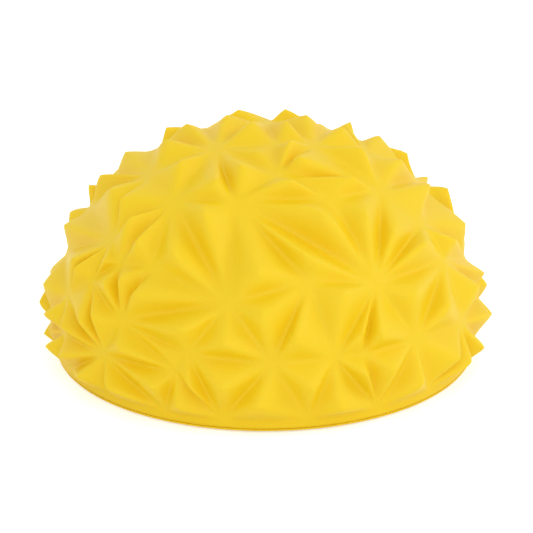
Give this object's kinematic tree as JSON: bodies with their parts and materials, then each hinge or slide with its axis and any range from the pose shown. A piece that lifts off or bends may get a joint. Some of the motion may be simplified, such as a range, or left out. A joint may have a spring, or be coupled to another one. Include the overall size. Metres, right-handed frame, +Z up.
{
  "type": "textured half ball",
  "caption": "Hollow soft plastic half ball with a faceted dome, a smooth rim band and a flat base with a plugged air valve, for stepping and balance play.",
  "frame": {"origin": "middle of the base on the floor plane, below the top of the dome", "axes": "+Z up through the dome, -Y towards the front that the picture shows, +X to the right"},
  "size_m": [0.1587, 0.157, 0.0821],
  "materials": {
    "soft_skin": "satin",
    "valve_plastic": "satin"
  },
  "bodies": {
    "pod": {"dome_skin": "soft_skin", "base_skin": "soft_skin", "valve_seat": "valve_plastic"},
    "plug": {"valve_plug": "valve_plastic"}
  },
  "joints": [
    {"name": "plug_pull", "type": "slide", "parent": "pod", "child": "plug", "axis": [0, 0, -1], "range_m": [0, 0.014]}
  ]
}
